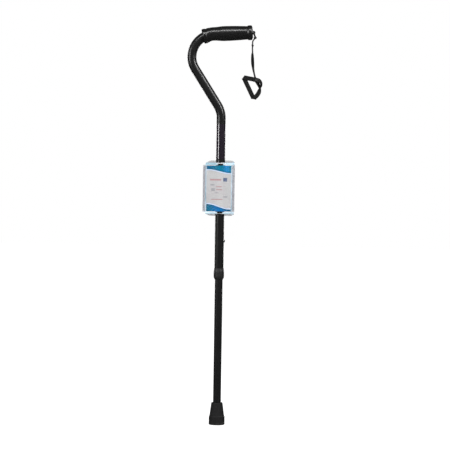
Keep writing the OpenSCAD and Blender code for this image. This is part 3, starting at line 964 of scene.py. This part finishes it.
def web_profile():
    """The webbing's cross-section as (share of half width, share of half thickness), with beaded edges."""
    columns = 14
    profile = []
    for side in (1, -1):
        for k in range(columns + 1):
            t = (-1 + 2 * k / columns) * side
            edge = 1 - abs(t)
            lift = sqrt(min(1.0, edge / 0.16 + 0.03))
            bead = 0.10 * exp(-((edge - 0.12) / 0.08) ** 2)
            profile.append((t, side * (lift * 0.9 + bead)))
    return profile


def ribbon(stations):
    """Skin of a woven ribbon with slanted ribs. A station is (centre, half-width vector, face normal)."""
    profile, slope, rib_h, rib_pitch = web_profile(), 0.9, 0.05, 1.1 * MM
    rings, along = [], 0.0
    for i, (centre, half, normal) in enumerate(stations):
        if i:
            along += (centre - stations[i - 1][0]).length
        ring = []
        for t, h in profile:
            slant = abs(t) * half.length * slope
            rib = rib_h * sin(TURN * (along + slant) / rib_pitch)
            ring.append(centre + half * t + normal * (WEB_T / 2 * (h + rib * (1 if h > 0 else -1))))
        rings.append(ring)
    return loft(rings)


def stretch(start, end, y, start_half, end_half, normal):
    """Stations of a straight stretch at depth y: both edges run straight between the end sections."""
    start, end = Vector((start.x, y, start.z)), Vector((end.x, y, end.z))
    count = max(2, round((end - start).length / (0.3 * MM)))
    return [
        (start.lerp(end, k / count), start_half.lerp(end_half, k / count), normal)
        for k in range(count)
    ]


def fold(point, crease, out, from_y, to_y, normal):
    """Stations of a flat fold: the ribbon turns over the crease from one layer to the other."""
    steps, radius, middle = 10, abs(to_y - from_y) / 2, (from_y + to_y) / 2
    away = Vector((0, (from_y - to_y) / abs(from_y - to_y), 0))
    stations = []
    for k in range(steps + 1):
        a = pi * k / steps
        centre = Vector((point.x, middle, point.z))
        centre += away * (radius * cos(a))
        centre += out * (radius * sin(a))
        turned = normal * cos(a) + out * (sin(a) * (1 if normal.dot(away) > 0 else -1))
        stations.append((centre, crease, turned))
    return stations


def crease_at(point, before, after):
    """The crease of a flat fold at a corner, as a half-width vector, and the way out past the corner."""
    d_in = (point - before).normalized()
    d_out = (after - point).normalized()
    along = (d_in + d_out).normalized()
    return along * (WEB_W / 2 / abs(along.cross(d_in).length)), (d_in - d_out).normalized()


def square_half(direction, crease):
    """The half-width vector square to a run, on the crease's side."""
    side = FACING.cross(direction).normalized() * (WEB_W / 2)
    return side if side.dot(crease) > 0 else -side


def rolled(tangent, flat_side, roll_deg):
    """The side and face normal of a ribbon that is rolled from flat about its run."""
    out = tangent.cross(flat_side).normalized()
    if out.dot(FACING) < 0:
        out = -out
    roll = radians(roll_deg)
    side = flat_side * cos(roll) + out * sin(roll)
    return side, out * cos(roll) - flat_side * sin(roll)


LOOP_JOIN = from_eyelet(7.6, -114.2)
LOOP_LEFT = from_eyelet(-22.7, -108.7)
LOOP_LOW = from_eyelet(2.0, -159.4)
LOOP_KNEE = from_eyelet(9.6, -152.0)


def loop_twist(crease, reach):
    """Stations from the low corner's crease up the right side of the loop, which twists and comes
    back flat to the join. It leaves the crease's slant within reach."""
    path = spline((
        (2.0, -159.4, -0.85, 0), (5.6, -155.9, -0.8, 0), (9.6, -152.0, -0.7, 2), (14.0, -145.2, -0.4, 14),
        (16.2, -138.4, 0.0, 42), (17.4, -132.8, 0.2, 66), (19.6, -127.8, 0.3, 62), (20.0, -123.0, 0.4, 58),
        (17.6, -118.4, 0.5, 40), (13.0, -115.4, 0.6, 14), (7.6, -114.2, 0.85, 0),
    ), 26)
    points = [from_eyelet(x, z, y) for x, z, y, _ in path]
    stations, last_side = [], crease
    for i in range(1, len(path)):
        tangent = tangent_at(points, i)
        flat_side = tangent.cross(FACING).normalized()
        if flat_side.dot(last_side) < 0:
            flat_side = -flat_side
        last_side = flat_side
        side, normal = rolled(tangent, flat_side, path[i][3])
        ease = smoothstep((points[i] - points[0]).length / reach)
        stations.append((points[i], crease.lerp(side * (WEB_W / 2), ease), normal))
    return stations


def build_loop(material):
    """The wrist loop: one ribbon that runs left from the join, down and back up with two flat folds
    and a twist."""
    reach = 5 * MM
    left_crease, left_out = crease_at(LOOP_LEFT, LOOP_JOIN, LOOP_LOW)
    low_crease, low_out = crease_at(LOOP_LOW, LOOP_LEFT, LOOP_KNEE)
    top_run = (LOOP_LEFT - LOOP_JOIN).normalized()
    left_run = (LOOP_LOW - LOOP_LEFT).normalized()
    half_top = square_half(top_run, left_crease)
    half_left = square_half(left_run, left_crease)
    if half_left.dot(low_crease) < 0:
        low_crease = -low_crease
    near_left, past_left = LOOP_LEFT - top_run * reach, LOOP_LEFT + left_run * reach
    near_low = LOOP_LOW - left_run * reach
    stations = stretch(LOOP_JOIN, near_left, FRONT_Y, half_top, half_top, FACING)
    stations += stretch(near_left, LOOP_LEFT, FRONT_Y, half_top, left_crease, FACING)
    stations += fold(LOOP_LEFT, left_crease, left_out, FRONT_Y, BACK_Y, FACING)
    stations += stretch(LOOP_LEFT, past_left, BACK_Y, left_crease, half_left, -FACING)
    stations += stretch(past_left, near_low, BACK_Y, half_left, half_left, -FACING)
    stations += stretch(near_low, LOOP_LOW, BACK_Y, half_left, low_crease, -FACING)
    stations += fold(LOOP_LOW, low_crease, low_out, BACK_Y, FRONT_Y, -FACING)
    loop = new_object("wrist_loop", *ribbon(stations + loop_twist(low_crease, reach)))
    finish_piece(loop, material, "loop", "nylon_webbing", "strap_webbing")


def build_twisted(name, material, controls, width):
    """A ribbon along a curve. A control is (x, z, y, roll in degrees), in millimetres from the
    eyelet, and width gives the ribbon's width at a share of its length."""
    rows = spline(controls, 24)
    centres = [from_eyelet(x, z, y) for x, z, y, _ in rows]
    stations = []
    for i, (_, _, _, roll_deg) in enumerate(rows):
        tangent = tangent_at(centres, i)
        side, normal = rolled(tangent, FACING.cross(tangent).normalized(), roll_deg)
        stations.append((centres[i], side * (width(i / (len(rows) - 1)) / 2), normal))
    finish_piece(new_object(name, *ribbon(stations)), material, "loop", "nylon_webbing")


def tail_width(t):
    """The tail is gathered where the cord is sewn to it, full in the middle and slimmer below."""
    gathered, lost = 6.5 * MM, 2.6 * MM
    if t < 0.5:
        return gathered + (WEB_W - gathered) * smoothstep(t / 0.15)
    return WEB_W - lost * smoothstep((t - 0.5) / 0.4)


def zigzag_tack():
    """Threads across the join, each pass slanted the other way."""
    length, width, passes, thread_r = 8 * MM, 6.4 * MM, 15, 0.21 * MM
    middle = from_eyelet(8.4, -114.8)
    along = (LOOP_JOIN - LOOP_LEFT).normalized()
    across = along.cross(FACING).normalized()
    parts = []
    for k in range(passes):
        shift = along * (length * (k / (passes - 1) - 0.5))
        way = 1 if k % 2 else -1
        points = []
        for i in range(13):
            t = -1 + i / 6
            dip = 0.35 * MM * abs(t) ** 8
            place = middle + shift + across * (way * t * width / 2) + along * (0.25 * MM * t)
            points.append(Vector((place.x, FRONT_Y - WEB_T / 2 - 0.16 * MM + dip, place.z)))
        parts.append(tube(points, thread_r, sides=7))
    return parts


def whipping():
    """Threads round the top of the tail, where it is sewn over the cord."""
    parts = []
    for k in range(5):
        centre = from_eyelet(-2.35, -46.4 - 1.0 * k)
        wrap = []
        for i in range(25):
            a = TURN * i / 24
            turn = (1.15 * MM * cos(a), 3.1 * MM * sin(a), 0.5 * MM * i / 24)
            wrap.append(centre + Vector(turn))
        parts.append(tube(wrap, 0.26 * MM, sides=7))
    return parts


def build_strap():
    """The webbing: the loop, its lapped end and the twisted tail that hangs from the cord, all sewn."""
    material = webbing()
    build_loop(material)
    build_twisted(
        "loop_lapped_end", material,
        ((17.2, -134.4, 1.4, 60), (15.2, -129.6, 1.5, 50), (12.4, -123.8, 1.7, 40), (9.4, -118.0, 2.0, 26),
         (6.4, -114.4, 2.3, 8), (1.0, -112.9, 2.35, 0)),
        lambda t: WEB_W,
    )
    build_twisted(
        "strap_tail", material,
        ((-2.3, -45.8, 0, 72), (-2.5, -53, 0, 62), (-2.1, -63, 0, 50), (-1.3, -76, 0, 50),
         (0.3, -89, 0.2, 66), (3.2, -102, 0.8, 72), (5.4, -110, 1.9, 58), (6.8, -116, 2.6, 30)),
        tail_width,
    )
    stitches = new_object("bar_tack", *join_parts(zigzag_tack() + whipping()))
    finish_piece(stitches, yarn("tack_thread", 0.03), "loop", "stitch_thread", "strap_stitching")


# ---- CAD nodes' finish

def paint_cad_nodes():
    """Gives each CAD node that stays its material."""
    coat, plastic, spring = powder_coat(), moulded_plastic(), steel("spring_steel", 0.55, 0.24, 0.36)
    for name, material in (
        ("handle_tube", coat), ("leg_tube", coat), ("end_plug", plastic), ("collar_nut", plastic),
        ("collar_bush", acetal()), ("clip_frame", spring), ("button_arm", spring),
        ("snap_button", steel("plated_button", 0.60, 0.20, 0.30, (1, 1, 1))), ("rubber_tip", rubber()),
        ("tip_washer", steel("zinc_washer", 0.50, 0.35, 0.5, (1, 1, 1))),
    ):
        paint(frame["nodes"][name], material)


# ---- the stage

def build_floor():
    """A pale disc that looks white to the camera. Pieces don't mirror it."""
    g = Graph("pale_floor")
    seen = g.times(g.node("LightPath").outputs["Is Camera Ray"], 0.72)
    surface = g.node("BsdfDiffuse", Color=g.mix(g.noise(3, 3), grey(0.84), grey(0.88)))
    glow = g.node("Emission", Color=(1, 1, 1), Strength=1.3)
    g.surface(g.blend(seen, surface, glow))
    radius, sides = 30.0, 96
    angles = [TURN * j / sides for j in range(sides)]
    rings = [
        [Vector((r * cos(a), r * sin(a), cad_low.z)) for a in angles]
        for r in (radius, radius / 2, 0.5, 0.01)
    ]
    verts, faces, _ = loft(rings, cap=False)
    floor = new_object("floor", verts, faces, smooth=False)
    paint(floor, g.material)
    floor.visible_glossy = False


def build_sky():
    """A white sky to the camera, soft light all round and nearly black in reflections."""
    world = bpy.data.worlds.new("studio")
    bpy.context.scene.world = world
    world.use_nodes = True
    tree = world.node_tree
    tree.nodes.clear()
    out = tree.nodes.new("ShaderNodeOutputWorld")
    rays = tree.nodes.new("ShaderNodeLightPath")

    def background(level):
        made = tree.nodes.new("ShaderNodeBackground")
        made.inputs["Color"].default_value = (1, 1, 1, 1)
        made.inputs["Strength"].default_value = level
        return made.outputs[0]

    def choose(test, otherwise, chosen):
        made = tree.nodes.new("ShaderNodeMixShader")
        for socket, value in zip(made.inputs, (rays.outputs[test], otherwise, chosen)):
            tree.links.new(value, socket)
        return made.outputs[0]

    sky = choose("Is Glossy Ray", background(0.55), background(0.035))
    tree.links.new(choose("Is Camera Ray", sky, background(1.0)), out.inputs["Surface"])


def soft_light(name, place, size, power, aim_z, mirrored=True):
    """A rectangular area light aimed at the cane's axis. It shows in reflections if mirrored."""
    data = bpy.data.lights.new(name, "AREA")
    data.shape = "RECTANGLE"
    data.size, data.size_y = size
    data.energy = power
    light = bpy.data.objects.new(name, data)
    light.location = place
    light.visible_glossy = mirrored
    light.rotation_euler = (Vector((0, 0, aim_z)) - Vector(place)).to_track_quat("-Z", "Y").to_euler()
    bpy.context.scene.collection.objects.link(light)


def build_lights():
    """Strips that streak the tube's sides and the grip's top, and two unmirrored fills."""
    mid_z = (cad_low.z + cad_high.z) / 2
    soft_light("top_front", (0.1, -1.7, 2.45), (2.6, 0.16), 44, 0.75)
    soft_light("left_strip", (-2.0, -1.2, 1.2), (0.32, 1.1), 22, 0.8)
    soft_light("right_strip", (1.75, -1.15, 1.95), (0.28, 1.2), 35, 0.8)
    soft_light("back_left_strip", (-1.1, 1.9, 0.9), (0.3, 1.5), 9, mid_z)
    soft_light("back_right_strip", (1.1, 1.9, 0.9), (0.3, 1.5), 9, mid_z)
    soft_light("front_fill", (0.2, -3.4, 1.1), (1.8, 1.6), 27, mid_z, False)
    soft_light("back_fill", (0.3, 3.0, 2.2), (2.4, 1.2), 25, mid_z, False)


def build_camera():
    """A long lens in front, level with the cane's middle. view_w is the width it sees at the cane."""
    lens, sensor, view_w = 120.0, 36.0, 1.0870
    roll = radians(0.863)
    aim = Vector((0.0131, 0, 0.4820))
    data = bpy.data.cameras.new("camera")
    data.lens, data.sensor_width, data.clip_end = lens, sensor, 200
    camera = bpy.data.objects.new("camera", data)
    stand = Matrix.Translation(aim - Vector((0, view_w * lens / sensor, 0)))
    camera.matrix_world = stand @ Matrix.Rotation(-roll, 4, "Y") @ Matrix.Rotation(pi / 2, 4, "X")
    bpy.context.scene.collection.objects.link(camera)
    bpy.context.scene.camera = camera
    bpy.context.scene.view_settings.view_transform = "Standard"


paint_cad_nodes()
build_grip()
build_label()
build_tag()
build_cord()
build_strap()
build_floor()
build_sky()
build_lights()
build_camera()
